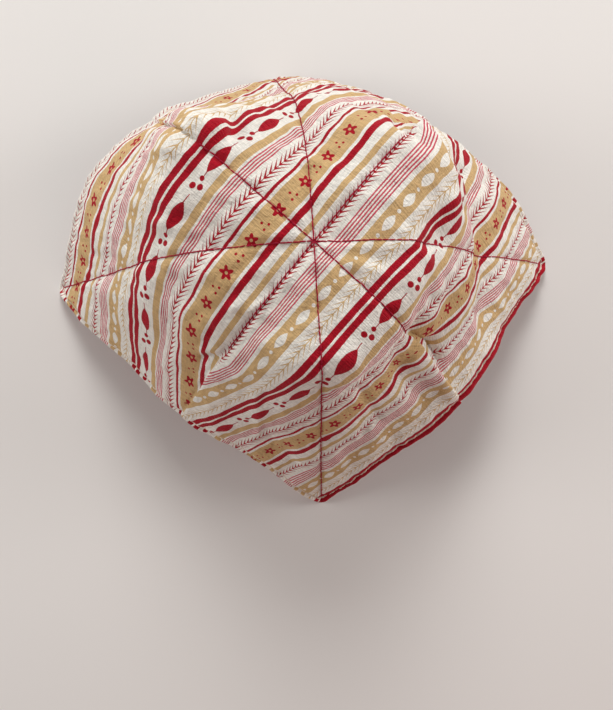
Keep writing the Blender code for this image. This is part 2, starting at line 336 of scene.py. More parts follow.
def gathers(along, off, wavelength, reach, seed):
    """Small puckers that a row of stitches pulls up: an uneven wave along the row, fading away from it."""
    turns = 2.0 * np.pi * along / wavelength
    swing = PHASE_SWING * np.sin(turns / PUCKERS_PER_PHASE_SWING + seed)
    swell = STRENGTH_SWING * np.sin(turns / PUCKERS_PER_STRENGTH_SWING + 2.0 * seed)
    strength = 1.0 - STRENGTH_SWING + swell
    return np.sin(turns + swing) * strength * bell(off, reach)


# Smaller creases, in the same form as the folds. Both panels follow them.
CREASES = (
    ("ridge below the right quilted row", 2.2, 0.7, ((-15.0, 12.0), (-5.0, 25.0), (-4.0, 38.0))),
    ("valley below that ridge", 2.6, -1.0, ((-30.0, 11.0), (-19.0, 20.0), (-22.0, 27.0))),
    ("ridge below that valley", 2.0, 0.7, ((-46.0, 12.0), (-33.0, 18.0), (-28.0, 27.0))),
    ("crown valley, lower left", 3.0, -0.7, ((240.0, 9.0), (262.0, 13.5))),
    ("crown ridge, lower left", 2.6, 0.5, ((238.0, 17.0), (262.0, 22.0))),
    ("crown ridge, left", 2.4, 0.5, ((173.0, 10.0), (171.0, 24.0))),
    ("crown valley, left", 2.4, -0.6, ((190.0, 12.0), (196.0, 30.0))),
    ("crown valley, upper left", 3.0, -0.7, ((153.0, 37.0), (142.0, 27.0))),
    ("crown valley, upper right", 2.6, -0.7, ((35.0, 15.0), (27.0, 23.0))),
    ("crown ridge, upper right", 2.8, 0.6, ((62.0, 28.0), (46.0, 33.0))),
    ("small ridge before the lower left dart", 2.0, 0.8, ((217.0, 33.0), (215.0, 40.0))),
    ("small valley before the lower left dart", 1.8, -0.8, ((221.5, 30.0), (219.0, 38.0))),
    ("second ridge before the lower left dart", 2.0, 0.7, ((226.5, 27.0), (223.5, 34.0))),
    ("pit at the tip of the upper right dart", 3.2, -2.3, ((43.0, 61.0), (40.0, 62.0))),
    ("kink beside the upper left puff", 3.6, -3.4, ((121.5, 53.0), (117.0, 66.0))),
    ("tight crease beside the lower right seam", 1.8, -1.6, ((-38.0, 80.0), (-41.0, 92.0))),
    ("ridge across the lower left quilting", 2.6, 1.0, ((215.0, 40.5), (221.5, 35.5))),
    ("kink at the tip of the lower left dart", 2.6, 1.9, ((218.0, 66.0), (223.5, 60.0))),
    ("pocket beside the lower left seam", 2.4, -1.7, ((220.5, 73.0), (225.0, 66.0))),
    ("puff below the lower left seam", 2.6, 1.0, ((227.5, 76.0), (229.0, 74.0))),
    ("ridge right of the lower left quilting", 3.6, 0.8, ((232.0, 38.5), (246.0, 42.0))),
    ("crease above the left wall", 3.0, -1.0, ((197.0, 44.0), (203.0, 74.0))),
    ("crease on the lower wall", 3.0, -0.9, ((283.0, 62.0), (290.0, 100.0))),
    ("crease on the lower left wall", 3.0, 0.9, ((246.0, 70.0), (250.0, 112.0))),
    ("crease on the right wall", 2.6, -1.2, ((14.0, 84.0), (22.0, 116.0))),
    ("crease at the upper right dart", 2.2, -1.2, ((51.0, 60.0), (56.0, 84.0))),
    ("crease at the upper left dart", 2.4, 1.0, ((141.0, 58.0), (146.0, 84.0))),
)

# One panel's thickness where nothing presses it, and half the gap between the two
PANEL_THICKNESS = 2.1
HALF_GAP = 0.15
QUILT_DIP = 0.75
QUILT_DIP_WIDTH = 1.5
QUILT_PUFF = 0.5
QUILT_PUFF_WIDTH = 8.0
SEAM_DIP = 1.4
SEAM_DIP_WIDTH = 1.3
TOP_STITCH_FROM_RIM = 4.0
TOP_STITCH_DIP = 1.15
TOP_STITCH_WIDTH = 1.2
RIM_ROLL = 2.6
# How thin a panel may get at its rolled edge and where it is pressed in
RIM_THICKNESS = 0.1
PRESSED_THICKNESS = 0.5
# The padding's unevenness: wavelength, amplitude on the crown. The walls are pulled smoother.
UNEVENNESS = ((26.0, 0.55), (11.0, 0.28), (5.5, 0.085))
SMOOTHED_ON_WALLS = 0.45
WALLS_START = 55.0
WALLS_FADE = 30.0
# The puckers at the quilted rows and at the top stitching: wavelength, reach, height
ROW_PUCKERS = (6.1, 8.0, 0.32)
RIM_PUCKERS = (6.7, 5.0, 0.2)
RIM_LENGTH_PER_DEGREE = 2.14
RIM_CALM = 2.0
ROW_PUCKERS_START = 6.0
ROW_PUCKERS_FADE = 22.0
STITCHES_HOLD = 1.3
# Fine wrinkles that run outwards round the centre, and how much and how often their spacing swings
WRINKLES = 17.0
WRINKLE_HEIGHT = 0.18
WRINKLES_MIDDLE = 18.0
WRINKLES_REACH = 16.0
SPACING_SWING = 2.0
SPACING_SWINGS = 5.0
# Where the quilted row of a dart's line gives way to its seam, measured back from the dart's tip
SEAM_BLEND_START = 4.0
SEAM_BLEND = 8.0


def cloth_height(seed, crease_sign, lapped):
    """How far a panel's face stands off the quilt's middle: padding pressed in by stitches, and puckers.

    The crease sign is 1 on the side where the creases rise and -1 on the other. The dart seams are a step
    where they are lapped, and a narrow valley where they aren't.
    """
    seamed = smooth_step((dart_along - DART_TIP + SEAM_BLEND_START) / SEAM_BLEND)
    row_off = np.minimum(dart_off, corner_off)
    height = PANEL_THICKNESS - QUILT_PUFF * bell(row_off, QUILT_PUFF_WIDTH)
    quilted_to_dart = bell(dart_off, QUILT_DIP_WIDTH) * (1.0 - seamed)
    quilted = np.maximum(bell(corner_off, QUILT_DIP_WIDTH), quilted_to_dart)
    height = height - QUILT_DIP * quilted
    if lapped:
        height = height + seamed * lap_at
    else:
        height = height - SEAM_DIP * seamed * bell(dart_off, SEAM_DIP_WIDTH)

    off_centre = smooth_step((distance_at - ROW_PUCKERS_START) / ROW_PUCKERS_FADE)
    free_of_stitches = 1.0 - bell(row_off, STITCHES_HOLD)
    wavelength, reach, pucker = ROW_PUCKERS
    pulled = gathers(distance_at, row_off, wavelength, reach, seed) * pucker * off_centre
    wavelength, reach, pucker = RIM_PUCKERS
    along_rim, stitch_off = azimuth_at * RIM_LENGTH_PER_DEGREE, rim_off - TOP_STITCH_FROM_RIM
    pulled = pulled + gathers(along_rim, stitch_off, wavelength, reach, seed + 1.0) * pucker
    height = height + pulled * free_of_stitches * smooth_step(rim_off / RIM_CALM)

    angle = np.radians(azimuth_at)
    swing = SPACING_SWING * np.sin(angle * SPACING_SWINGS + seed)
    wrinkles = np.sin(angle * WRINKLES + swing) * WRINKLE_HEIGHT
    height = height + wrinkles * bell(distance_at - WRINKLES_MIDDLE, WRINKLES_REACH) * free_of_stitches
    crown_share = 1.0 - SMOOTHED_ON_WALLS * smooth_step((distance_at - WALLS_START) / WALLS_FADE)
    for wavelength, amplitude in UNEVENNESS:
        height = height + amplitude * crown_share * soft_noise(wavelength, int(seed + wavelength))
    height = height + crease_sign * fold_height(place, CREASES)

    height = height - TOP_STITCH_DIP * bell(rim_off - TOP_STITCH_FROM_RIM, TOP_STITCH_WIDTH)
    rolled = np.clip(rim_off / RIM_ROLL, 0.0, 1.0)
    return HALF_GAP + RIM_THICKNESS + height * np.sqrt(1.0 - (1.0 - rolled) ** 2)


# How much cloth one unit of the UV map covers
MAP_UNIT = 100.0


def panel(name, face, back, thread_grain, outward):
    """A closed sheet from the two sides of a panel, with the flat cut as its UV map.

    The map's first coordinate runs across the stripes and the second along them, in map units.
    """
    both = np.concatenate([face, back])
    # The corners press flat on the floor
    both[:, 2] = np.maximum(both[:, 2], 0.0)
    count = len(face)
    following = np.roll(rim, -1)
    edge = np.stack([rim, rim + count, following + count, following], axis=1)
    faces = np.concatenate([quads, quads[:, ::-1] + count, edge])
    if not outward:
        faces = faces[:, ::-1]
    mesh = bpy.data.meshes.new(name)
    mesh.from_pydata((both * MM).tolist(), [], faces.tolist())
    mesh.shade_smooth()

    # A quarter's sides follow its two darts' middle lines, at angles from the direction across the stripes
    cut = np.zeros((4, cells + 1, cells + 1, 2))
    for quarter in range(4):
        first_way = np.radians(90.0 * quarter - 45.0 - thread_grain)
        second_way = first_way + np.pi / 2.0
        cut[quarter, ..., 0] = flat_x * np.cos(first_way) + flat_y * np.cos(second_way)
        cut[quarter, ..., 1] = flat_x * np.sin(first_way) + flat_y * np.sin(second_way)
    corners = cell_corners(cut).reshape(-1, 4, 2)
    rim_cut = np.concatenate([np.concatenate([q[-1, :], q[-2::-1, -1]]) for q in cut])
    rim_cut = rim_cut.reshape(4, 2 * cells + 1, 2)
    edge_corners = np.stack([rim_cut[:, :-1], rim_cut[:, :-1], rim_cut[:, 1:], rim_cut[:, 1:]], axis=2)
    edge_corners = edge_corners.reshape(-1, 4, 2)
    cut_map = np.concatenate([corners, corners[:, ::-1], edge_corners])
    if not outward:
        cut_map = cut_map[:, ::-1]
    cut_map = (cut_map / MAP_UNIT).astype(np.float32).ravel()
    mesh.uv_layers.new(name="cut").data.foreach_set("uv", cut_map)
    piece = bpy.data.objects.new(name, mesh)
    bpy.context.scene.collection.objects.link(piece)
    return piece


OUTER_SEED = 0.4
LINING_SEED = 2.7
# The four faces, from the outermost to the innermost, as heights over the quilt's middle. Each stays under
# the one before, so that a deep crease in the outer panel presses the lining in as well.
thinnest = RIM_THICKNESS + (PRESSED_THICKNESS - RIM_THICKNESS) * smooth_step(rim_off / RIM_ROLL)
outer_height = cloth_height(OUTER_SEED, 1.0, True)
outer_back_height = np.minimum(HALF_GAP, outer_height - thinnest)
lining_back_height = outer_back_height - 2.0 * HALF_GAP
lining_height = np.minimum(-cloth_height(LINING_SEED, -1.0, False), lining_back_height - thinnest)

outer_face = middle + facing * outer_height[:, None]
outer_back = middle + facing * outer_back_height[:, None]
STRIPE_GRAIN = 135.0
outer_panel = panel("outer_panel_cloth", outer_face, outer_back, STRIPE_GRAIN, True)


class Wires:
    """Adds nodes to one tree and joins them, so that a pattern can be written as a sum of named masks."""

    def __init__(self, tree):
        self.tree = tree

    def node(self, kind, **settings):
        """A new node of a kind, with its settings."""
        made = self.tree.nodes.new(kind)
        for name, value in settings.items():
            setattr(made, name, value)
        return made

    def feed(self, socket, value):
        """Links an output to a socket, or sets the socket to a plain value."""
        if isinstance(value, bpy.types.NodeSocket):
            self.tree.links.new(value, socket)
        elif value is not None:
            socket.default_value = value

    def math(self, operation, *values, held=False):
        """The result of one math node, held between 0 and 1 if asked."""
        made = self.node("ShaderNodeMath", operation=operation, use_clamp=held)
        for socket, value in zip(made.inputs, values):
            self.feed(socket, value)
        return made.outputs[0]

    def below(self, value, limit, soft=0.09):
        """1 where a value is under a limit, with an edge of that softness."""
        return self.math("MULTIPLY_ADD", self.math("SUBTRACT", limit, value), 1.0 / soft, 0.5, held=True)

    def both(self, *masks):
        """1 only where every mask is 1."""
        found = masks[0]
        for mask in masks[1:]:
            found = self.math("MULTIPLY", found, mask)
        return found

    def either(self, *masks):
        """1 where any of the masks is 1."""
        found = masks[0]
        for mask in masks[1:]:
            found = self.math("MAXIMUM", found, mask)
        return found

    def repeated(self, value, pitch, start=0.0):
        """A value wrapped to run from minus half a pitch to plus half a pitch, zero at its start."""
        share = self.math("MULTIPLY_ADD", value, 1.0 / pitch, 0.5 - start / pitch)
        return self.math("MULTIPLY_ADD", self.math("FRACT", share), pitch, -0.5 * pitch)

    def mix(self, mask, under, over):
        """One colour laid over another where a mask is 1."""
        made = self.node("ShaderNodeMix", data_type="RGBA")
        self.feed(made.inputs["Factor"], mask)
        self.feed(made.inputs["A"], under)
        self.feed(made.inputs["B"], over)
        return made.outputs["Result"]


THREADS_PER_MM = 2.6
# The weave's noises: how fine they are across the stripes and along them, and their detail
WARP_SLUBS = (2.4, 0.16, 2.0)
WEFT_SLUBS = (0.16, 1.9, 2.0)
CRINKLE = (0.6, 0.75, 3.0)
# What each adds to the relief next to the warp's slubs, and the crinkle's share of the tone: painted shade,
# which darkens the crinkle's hollows and lightens its crests
WEFT_RELIEF = 2.0
CRINKLE_RELIEF = 2.6
CROSSING_RELIEF = 0.25
CRINKLE_PAINTED_SHADE = 0.5
# The tone's average, taken off so that it swings about zero
MIDDLE_TONE = 1.25


def plain_weave():
    """A node group: the height of a plain weave with slubs, and its tone with painted shade, from a place in
    millimetres.

    Warp and weft are two waves at right angles that pass over each other in turn, the slubs are noise drawn
    out along the threads of each, and a coarser noise crinkles the cloth. The tone is the slubs' own, plus
    painted shade that darkens the crinkle's hollows and lightens its crests.
    """
    group = bpy.data.node_groups.new("plain weave", "ShaderNodeTree")
    for socket, way in (("Across", "INPUT"), ("Along", "INPUT"), ("Height", "OUTPUT"), ("Tone and painted shade", "OUTPUT")):
        group.interface.new_socket(socket, in_out=way, socket_type="NodeSocketFloat")
    w = Wires(group)
    given = w.node("NodeGroupInput")
    result = w.node("NodeGroupOutput")
    across, along = given.outputs["Across"], given.outputs["Along"]

    def drawn_out(scale_across, scale_along, detail):
        place_at = w.node("ShaderNodeCombineXYZ")
        w.feed(place_at.inputs["X"], w.math("MULTIPLY", across, scale_across))
        w.feed(place_at.inputs["Y"], w.math("MULTIPLY", along, scale_along))
        noise = w.node("ShaderNodeTexNoise", noise_dimensions="2D")
        w.feed(noise.inputs["Vector"], place_at.outputs[0])
        noise.inputs["Scale"].default_value = 1.0
        noise.inputs["Detail"].default_value = detail
        return noise.outputs["Fac"]

    warp_slubs, weft_slubs = drawn_out(*WARP_SLUBS), drawn_out(*WEFT_SLUBS)
    waves = [
        w.math("SINE", w.math("MULTIPLY", coordinate, 2.0 * np.pi * THREADS_PER_MM / 2.0))
        for coordinate in (across, along)
    ]
    crossing = w.math("MULTIPLY", *waves)
    crinkle = drawn_out(*CRINKLE)
    relief = w.math("MULTIPLY_ADD", crinkle, CRINKLE_RELIEF, warp_slubs)
    relief = w.math("MULTIPLY_ADD", weft_slubs, WEFT_RELIEF, relief)
    w.feed(result.inputs["Height"], w.math("MULTIPLY_ADD", crossing, CROSSING_RELIEF, relief))
    # The slubs' own tone, plus painted shade from the crinkle: its hollows darker and its crests lighter
    slub_tone_and_painted_shade = w.math("MULTIPLY_ADD", crinkle, CRINKLE_PAINTED_SHADE, w.math("ADD", warp_slubs, weft_slubs))
    w.feed(result.inputs["Tone and painted shade"], w.math("SUBTRACT", slub_tone_and_painted_shade, MIDDLE_TONE))
    return group


weave = plain_weave()

OFF_WHITE = (0.80, 0.77, 0.71, 1.0)
CRIMSON = (0.37, 0.002, 0.013, 1.0)
ROSE = (0.52, 0.045, 0.085, 1.0)
TAN = (0.585, 0.39, 0.185, 1.0)

# One repeat of the print, across the stripes: where each band starts and its colour
STRIPE_REPEAT = 86.0
STRIPE_START = 9.0
BANDS = (
    (0.0, CRIMSON), (2.4, OFF_WHITE), (3.8, TAN), (13.3, OFF_WHITE), (14.6, CRIMSON), (15.9, OFF_WHITE),
    (30.4, TAN), (33.6, OFF_WHITE), (43.2, CRIMSON), (46.0, OFF_WHITE), (46.7, CRIMSON), (49.5, OFF_WHITE),
    (57.4, TAN), (64.8, OFF_WHITE), (80.2, TAN), (82.6, OFF_WHITE),
)
# Groups of fine lines: where each group starts, and how many lines it has
FINE_LINES = ((25.2, 4), (66.4, 5))
FINE_LINE_PITCH = 1.15
FINE_LINE_WIDTH = 0.56

# How far the edges of the print wander, and how finely
WANDER = 0.22
WANDER_SCALE = 120.0

STEM_HALF_WIDTH = 0.16
# Leaf sprigs between the bands: place across the repeat, half-width, pitch, leaf, slant, colour
SPRIGS = (
    (20.6, 3.3, 2.7, 0.75, 1.5, CRIMSON),
    (53.5, 2.9, 3.1, 0.50, -1.7, TAN),
    (76.2, 2.5, 2.5, 0.65, 1.3, CRIMSON),
)

# Blossoms on the broad tan band, with three dots between them: place across, place along, radius
BLOSSOM_ROW = 8.5
BLOSSOM_PITCH = 15.0
BLOSSOM_RADIUS = 2.9
PETALS = 5
PETAL_SWELL = 0.24
BLOSSOM_EYE = 0.22
BLOSSOM_DOTS = ((7.4, 1.3, 0.55), (9.8, 0.0, 0.55), (7.4, -1.3, 0.55))

# Crimson leaves on a short stalk, with three berries after each: place across, place along, radius
LEAF_ROW = 38.4
LEAF_PITCH = 26.0
LEAF_HALF_WIDTH = 2.5
LEAF_HALF_LENGTH = 6.6
STALK_HALF_WIDTH = 0.2
STALK_HALF_LENGTH = 9.6
BERRIES_START = 12.2
BERRIES = ((37.0, 0.0, 1.25), (39.9, 1.2, 1.25), (38.6, -2.9, 1.05))

# Off-white almonds and dots in turn on the narrower tan band
ALMOND_ROW = 61.1
ALMOND_PITCH = 12.0
ALMOND_HALF_WIDTH = 1.7
ALMOND_HALF_LENGTH = 3.9
ALMOND_DOT_RADIUS = 0.75

STRIPED_WEAVE_DEPTH = 0.20
STRIPED_TONE = 0.42


def cotton_material(name, roughness):
    """A plain matt cotton: the material, its wires, its shader and the flat cut's place in millimetres."""
    material = bpy.data.materials.new(name)
    material.use_nodes = True
    tree = material.node_tree
    shader = tree.nodes["Principled BSDF"]
    shader.inputs["Roughness"].default_value = roughness
    shader.inputs["Specular IOR Level"].default_value = 0.18
    shader.inputs["Sheen Weight"].default_value = 0.05
    shader.inputs["Sheen Roughness"].default_value = 0.5
    w = Wires(tree)
    cut = w.node("ShaderNodeUVMap", uv_map="cut")
    split = w.node("ShaderNodeSeparateXYZ")
    w.feed(split.inputs[0], cut.outputs[0])
    across = w.math("MULTIPLY", split.outputs["X"], MAP_UNIT)
    along = w.math("MULTIPLY", split.outputs["Y"], MAP_UNIT)
    return material, w, shader, across, along


def finish_cotton(w, shader, colour, across, along, weave_depth, tone_strength):
    """Adds the weave to a cotton: its height as bump, and its tone with the crinkle's painted shade to the
    colour.
    """
    threads = w.node("ShaderNodeGroup", node_tree=weave)
    w.feed(threads.inputs["Across"], across)
    w.feed(threads.inputs["Along"], along)
    toned = w.node("ShaderNodeHueSaturation")
    w.feed(toned.inputs["Value"], w.math("MULTIPLY_ADD", threads.outputs["Tone and painted shade"], tone_strength, 1.0))
    w.feed(toned.inputs["Color"], colour)
    w.feed(shader.inputs["Base Color"], toned.outputs[0])
    bump = w.node("ShaderNodeBump")
    bump.inputs["Strength"].default_value = 1.0
    bump.inputs["Distance"].default_value = weave_depth * MM
    w.feed(bump.inputs["Height"], threads.outputs["Height"])
    w.feed(shader.inputs["Normal"], bump.outputs[0])


def sprig(w, off, along, half_width, pitch, leaf, slant):
    """A plain leaf sprig: slanting leaves on both sides of a thin stem, which taper towards their tips."""
    side = w.math("ABSOLUTE", off)
    lean = w.math("MULTIPLY_ADD", side, slant, along)
    room = w.math("MULTIPLY_ADD", side, -leaf / half_width, leaf)
    leaves = w.below(w.math("ABSOLUTE", w.repeated(lean, pitch)), room, soft=0.2)
    stem = w.below(side, STEM_HALF_WIDTH)
    return w.either(w.both(leaves, w.below(side, half_width)), stem)


def oval(w, off, along, half_width, half_length, soft=0.22):
    """A filled oval round the origin of two coordinates: the squares of their shares add up to under 1."""
    wide, long = w.math("DIVIDE", off, half_width), w.math("DIVIDE", along, half_length)
    square = w.math("MULTIPLY_ADD", wide, wide, w.math("MULTIPLY", long, long))
    return w.below(square, 1.0, soft=soft)


def almond(w, off, along, half_width, half_length):
    """A leaf pointed at both ends: its half width falls off with the square of the place along it."""
    share = w.math("DIVIDE", along, half_length)
    room = w.math("MULTIPLY_ADD", w.math("MULTIPLY", share, share), -half_width, half_width)
    return w.below(w.math("ABSOLUTE", off), room, soft=0.15)


def blossom(w, off, along, radius, petals):
    """A plain blossom round an open eye: its radius swells with a cosine of the angle, once a petal."""
    angle = w.math("MULTIPLY", w.math("ARCTAN2", off, along), float(petals))
    edge = w.math("MULTIPLY_ADD", w.math("COSINE", angle), PETAL_SWELL * radius, (1.0 - PETAL_SWELL) * radius)
    reach = w.math("SQRT", w.math("MULTIPLY_ADD", off, off, w.math("MULTIPLY", along, along)))
    return w.both(w.below(reach, edge), w.below(BLOSSOM_EYE * radius, reach))


def striped_cotton():
    """The printed cotton: bands, fine lines, leaf sprigs, blossoms, leaves with berries, and almonds."""
    material, w, shader, across, along = cotton_material("striped cotton", 0.88)
    wander = w.node("ShaderNodeTexNoise", noise_dimensions="2D")
    wander.inputs["Scale"].default_value = WANDER_SCALE
    wander.inputs["Detail"].default_value = 1.0
    w.feed(wander.inputs["Vector"], w.tree.nodes["UV Map"].outputs[0])
    started = w.math("SUBTRACT", across, WANDER / 2.0 + STRIPE_START)
    shaken = w.math("MULTIPLY_ADD", wander.outputs["Fac"], WANDER, started)
    share = w.math("FRACT", w.math("DIVIDE", shaken, STRIPE_REPEAT))
    stripe_place = w.math("MULTIPLY", share, STRIPE_REPEAT)

    bands = w.node("ShaderNodeValToRGB")
    bands.color_ramp.interpolation = "CONSTANT"
    ramp = bands.color_ramp.elements
    ramp[0].position, ramp[0].color = BANDS[0][0] / STRIPE_REPEAT, BANDS[0][1]
    ramp.remove(ramp[1])
    for start, colour in BANDS[1:]:
        ramp.new(start / STRIPE_REPEAT).color = colour
    w.feed(bands.inputs[0], share)
    colour = bands.outputs[0]

    for start, count in FINE_LINES:
        line = w.repeated(stripe_place, FINE_LINE_PITCH, start + FINE_LINE_PITCH / 2.0)
        half_group = count * FINE_LINE_PITCH / 2.0
        within = w.below(w.math("ABSOLUTE", w.math("SUBTRACT", stripe_place, start + half_group)), half_group)
        on_line = w.below(w.math("ABSOLUTE", line), FINE_LINE_WIDTH / 2.0, soft=0.2)
        colour = w.mix(w.both(on_line, within), colour, ROSE)

    def off_from(place_across):
        return w.math("SUBTRACT", stripe_place, place_across)

    def dots(rows, along_row):
        return [
            oval(w, off_from(place_across), w.math("SUBTRACT", along_row, place_along), radius, radius)
            for place_across, place_along, radius in rows
        ]

    for place_across, half_width, pitch, leaf, slant, ink in SPRIGS:
        found = sprig(w, off_from(place_across), along, half_width, pitch, leaf, slant)
        colour = w.mix(found, colour, ink)

    between = w.repeated(along, BLOSSOM_PITCH, BLOSSOM_PITCH / 2.0)
    blossoms = w.either(
        blossom(w, off_from(BLOSSOM_ROW), w.repeated(along, BLOSSOM_PITCH), BLOSSOM_RADIUS, PETALS),
        *dots(BLOSSOM_DOTS, between),
    )
    colour = w.mix(blossoms, colour, CRIMSON)

    leaf_place = w.repeated(along, LEAF_PITCH)
    stalks = w.both(
        w.below(w.math("ABSOLUTE", off_from(LEAF_ROW)), STALK_HALF_WIDTH),
        w.below(w.math("ABSOLUTE", leaf_place), STALK_HALF_LENGTH),
    )
    leaves = w.either(
        almond(w, off_from(LEAF_ROW), leaf_place, LEAF_HALF_WIDTH, LEAF_HALF_LENGTH),
        *dots(BERRIES, w.repeated(along, LEAF_PITCH, BERRIES_START)),
        stalks,
    )
    colour = w.mix(leaves, colour, CRIMSON)

    almond_place = w.repeated(along, ALMOND_PITCH)
    dot_place = w.repeated(along, ALMOND_PITCH, ALMOND_PITCH / 2.0)
    almonds = w.either(
        almond(w, off_from(ALMOND_ROW), almond_place, ALMOND_HALF_WIDTH, ALMOND_HALF_LENGTH),
        oval(w, off_from(ALMOND_ROW), dot_place, ALMOND_DOT_RADIUS, ALMOND_DOT_RADIUS),
    )
    colour = w.mix(almonds, colour, OFF_WHITE)
    finish_cotton(w, shader, colour, across, along, STRIPED_WEAVE_DEPTH, STRIPED_TONE)
    return material


outer_panel.data.materials.append(striped_cotton())
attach(outer_panel, "root")
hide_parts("outer_panel")

# Lining panel
# A matching square of crimson cotton with white pin dots, on its own wadding. It has the same darts, is sewn
# to the outer panel round the rim, and shows underneath; its four corners rest on the floor.
lining_face = middle + facing * lining_height[:, None]
lining_back = middle + facing * lining_back_height[:, None]
LINING_GRAIN = 90.0
lining_panel = panel("lining_panel_cloth", lining_face, lining_back, LINING_GRAIN, False)

LINING_CRIMSON = (0.38, 0.004, 0.014, 1.0)
DOT_WHITE = (0.78, 0.62, 0.60, 1.0)
DOT_PITCH = 3.0
DOT_ROW_PITCH = 2.6
DOT_RADIUS = 0.34
PIN_DOT_WEAVE_DEPTH = 0.10
PIN_DOT_TONE = 0.4


def pin_dot_cotton():
    """The lining's cotton: small dots in rows, every other row set half a pitch along."""
    material, w, shader, across, along = cotton_material("pin-dot cotton", 0.86)
    rows = []
    for row in (0, 1):
        off_row = w.repeated(across, 2.0 * DOT_ROW_PITCH, row * DOT_ROW_PITCH)
        along_row = w.repeated(along, DOT_PITCH, row * DOT_PITCH / 2.0)
        rows.append(oval(w, off_row, along_row, DOT_RADIUS, DOT_RADIUS, soft=0.4))
    colour = w.mix(w.either(*rows), LINING_CRIMSON, DOT_WHITE)
    finish_cotton(w, shader, colour, across, along, PIN_DOT_WEAVE_DEPTH, PIN_DOT_TONE)
    return material


lining_panel.data.materials.append(pin_dot_cotton())
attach(lining_panel, "root")
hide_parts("lining_panel")

# Quilting thread
# Dark crimson sewing thread in short straight stitches, from the centre out to each corner and each dart. It
# is sewn through both panels, so both sides show it, and two rows go back over themselves by the centre.
THREAD_RADIUS = 0.29
STITCH_LENGTH = 2.6
STITCH_GAP = 0.02
STITCH_RINGS = 6
STITCH_SIDES = 6
STITCH_RISE = 0.25
STITCH_DIVE = 0.02
STITCH_TAPER = 0.35
# How uneven the stitches are: their start, their length, their place beside the row and their turn
START_SCATTER = 0.15
SHORTEST_SHARE = 0.95
LONGEST_SHARE = 1.04
SIDE_SCATTER = 0.06
TURN_SCATTER = 0.05


def on_face(face, quarter, first, second):
    """Points and outward directions of a face at shares along a quarter's sides, read between grid points."""
    grid_places = np.arange(cells + 1.0)
    rows, columns = np.interp(first, steps, grid_places), np.interp(second, steps, grid_places)
    row, column = np.minimum(rows.astype(int), cells - 1), np.minimum(columns.astype(int), cells - 1)
    row_part, column_part = (rows - row)[:, None], (columns - column)[:, None]
    found = []
    for values in (face, facing):
        grid = values[numbers[quarter]]
        near = grid[row, column] * (1.0 - row_part) + grid[row + 1, column] * row_part
        far = grid[row, column + 1] * (1.0 - row_part) + grid[row + 1, column + 1] * row_part
        found.append(near * (1.0 - column_part) + far * column_part)
    return found


def stitch_row(line, out, start, end, seed):
    """The rings of every stitch of one row, along a line of points from one length to another.

    A stitch is a short tube. It rises over the cloth in the middle and dives into it at both ends, and its
    place wanders a little from stitch to stitch.
    """
    draw = np.random.default_rng(seed)
    lengths = np.concatenate([[0.0], np.cumsum(np.linalg.norm(np.diff(line, axis=0), axis=1))])
    pitch = STITCH_LENGTH + STITCH_GAP
    count = int((min(end, lengths[-1]) - start) / pitch)
    begins = start + pitch * np.arange(count) + draw.uniform(-START_SCATTER, START_SCATTER, count)
    share = np.linspace(0.0, 1.0, STITCH_RINGS)
    long = STITCH_LENGTH * draw.uniform(SHORTEST_SHARE, LONGEST_SHARE, count)
    at = begins[:, None] + share * long[:, None]
    centre = np.stack([np.interp(at, lengths, line[:, k]) for k in range(3)], axis=-1)
    up = np.stack([np.interp(at, lengths, out[:, k]) for k in range(3)], axis=-1)
    up = up / np.linalg.norm(up, axis=-1, keepdims=True)
    ahead = np.gradient(centre, axis=1)
    ahead = ahead / np.linalg.norm(ahead, axis=-1, keepdims=True)
    side = np.cross(ahead, up)
    lift = STITCH_RISE - (STITCH_RISE + STITCH_DIVE) * np.abs(2.0 * share - 1.0) ** 4
    beside = draw.normal(0.0, SIDE_SCATTER, (count, 1))
    sway = beside + draw.normal(0.0, TURN_SCATTER, (count, 1)) * (2.0 * share - 1.0)
    centre = centre + up * lift[None, :, None] + side * sway[..., None]
    radius = THREAD_RADIUS * (1.0 - STITCH_TAPER * np.abs(2.0 * share - 1.0) ** 3)
    angle = np.linspace(0.0, 2.0 * np.pi, STITCH_SIDES, endpoint=False)
    ring = side[:, :, None] * np.cos(angle)[:, None] + up[:, :, None] * np.sin(angle)[:, None]
    return centre[:, :, None] + ring * radius[None, :, None, None]


def sewn(name, rows):
    """One mesh of all the stitches of several rows, each stitch a closed tube."""
    rings = np.concatenate(rows)
    rings[..., 2] = np.maximum(rings[..., 2], 0.0)
    count = len(rings)
    index = np.arange(rings[..., 0].size).reshape(rings.shape[:3])
    ahead, around = index[:, 1:], np.roll(index, -1, axis=2)
    walls = np.stack([index[:, :-1], around[:, :-1], around[:, 1:], ahead], axis=-1).reshape(-1, 4)
    caps = np.concatenate([index[:, 0, ::-1], index[:, -1]])
    mesh = bpy.data.meshes.new(name)
    mesh.from_pydata((rings.reshape(-1, 3) * MM).tolist(), [], walls.tolist() + caps.tolist())
    mesh.shade_smooth()
    piece = bpy.data.objects.new(name, mesh)
    bpy.context.scene.collection.objects.link(piece)
    return piece


# How fine the changes of tone along the thread are
FIBRE_SCALE = 2600.0


def thread_material(name, colour, light):
    """Spun thread: a smooth, slightly shiny fibre whose tone changes from place to place."""
    material = bpy.data.materials.new(name)
    material.use_nodes = True
    shader = material.node_tree.nodes["Principled BSDF"]
    w = Wires(material.node_tree)
    place_on = w.node("ShaderNodeTexCoord")
    fibres = w.node("ShaderNodeTexNoise")
    fibres.inputs["Scale"].default_value = FIBRE_SCALE
    w.feed(fibres.inputs["Vector"], place_on.outputs["Object"])
    w.feed(shader.inputs["Base Color"], w.mix(fibres.outputs["Fac"], colour, light))
    shader.inputs["Roughness"].default_value = 0.65
    shader.inputs["Specular IOR Level"].default_value = 0.2
    return material


